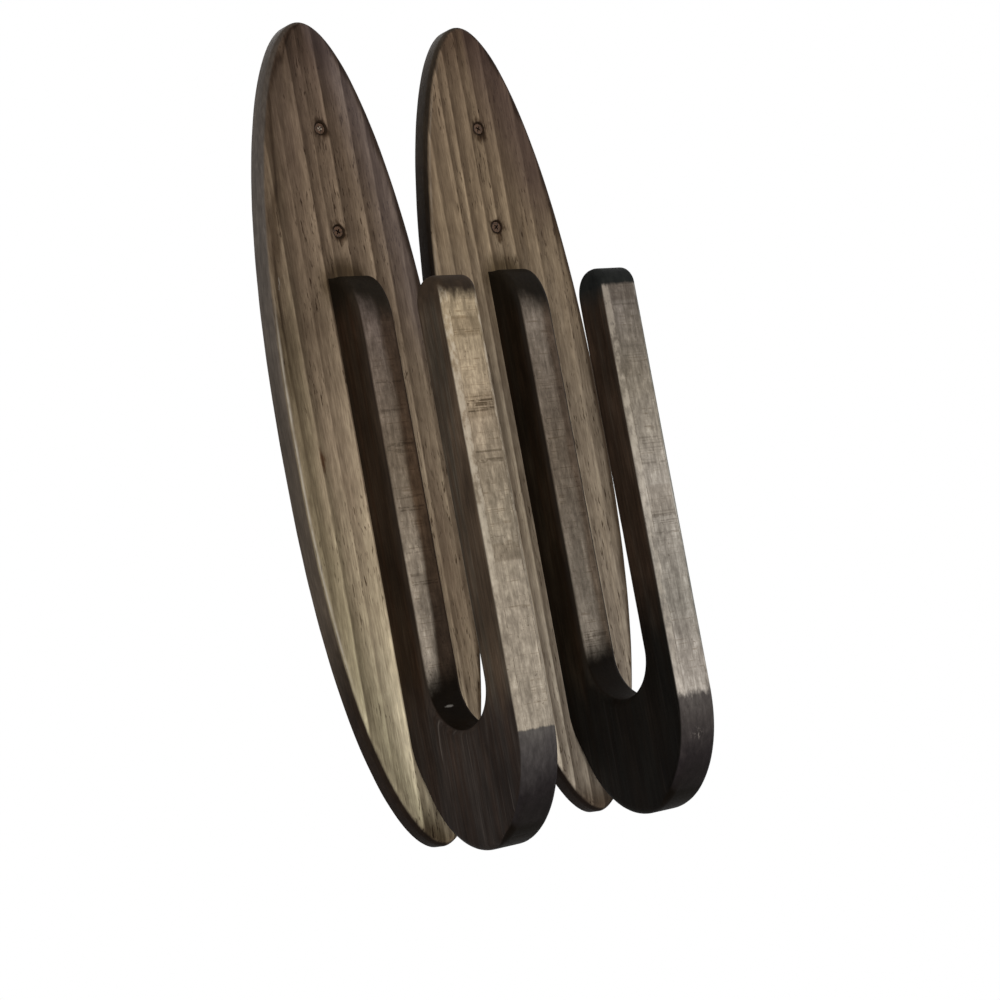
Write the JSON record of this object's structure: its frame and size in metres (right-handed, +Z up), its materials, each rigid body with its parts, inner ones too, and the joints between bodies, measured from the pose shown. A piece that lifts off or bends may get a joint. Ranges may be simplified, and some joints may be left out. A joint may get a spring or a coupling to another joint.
{
  "type": "surfboard wall rack",
  "caption": "Wooden wall racks for surfboards: upright longboard-shaped backboards, each with a deep U-shaped cradle screwed square to its face.",
  "frame": {"origin": "on the wall plane against which the backboards' flat backs lie, halfway between the two racks and at the mid-height of the backboards", "axes": "+Z up along the backboards, +X to the right along the wall from the left rack to the right rack, +Y into the wall; the cradles stand out towards -Y"},
  "size_m": [0.333, 0.2009, 0.692],
  "materials": {
    "board_wood": "straight-grained softwood, torched and stained grey-brown, darker at its edges, satin-matte",
    "cradle_wood": "thick plank, torched nearly black on its sides and end grain, grey-beige with fine saw marks on its narrow faces, satin-matte",
    "screw_steel": "countersunk steel screws with a brown coating, dulled by stain"
  },
  "bodies": {
    "root": {"left_backboard": "board_wood", "left_cradle": "cradle_wood", "left_wall_screw_1": "screw_steel", "left_wall_screw_2": "screw_steel", "left_cradle_screw_1": "screw_steel", "left_cradle_screw_2": "screw_steel", "left_cradle_screw_3": "screw_steel", "left_cradle_screw_4": "screw_steel", "right_backboard": "board_wood", "right_cradle": "cradle_wood", "right_wall_screw_1": "screw_steel", "right_wall_screw_2": "screw_steel", "right_cradle_screw_1": "screw_steel", "right_cradle_screw_2": "screw_steel", "right_cradle_screw_3": "screw_steel", "right_cradle_screw_4": "screw_steel"}
  },
  "joints": []
}
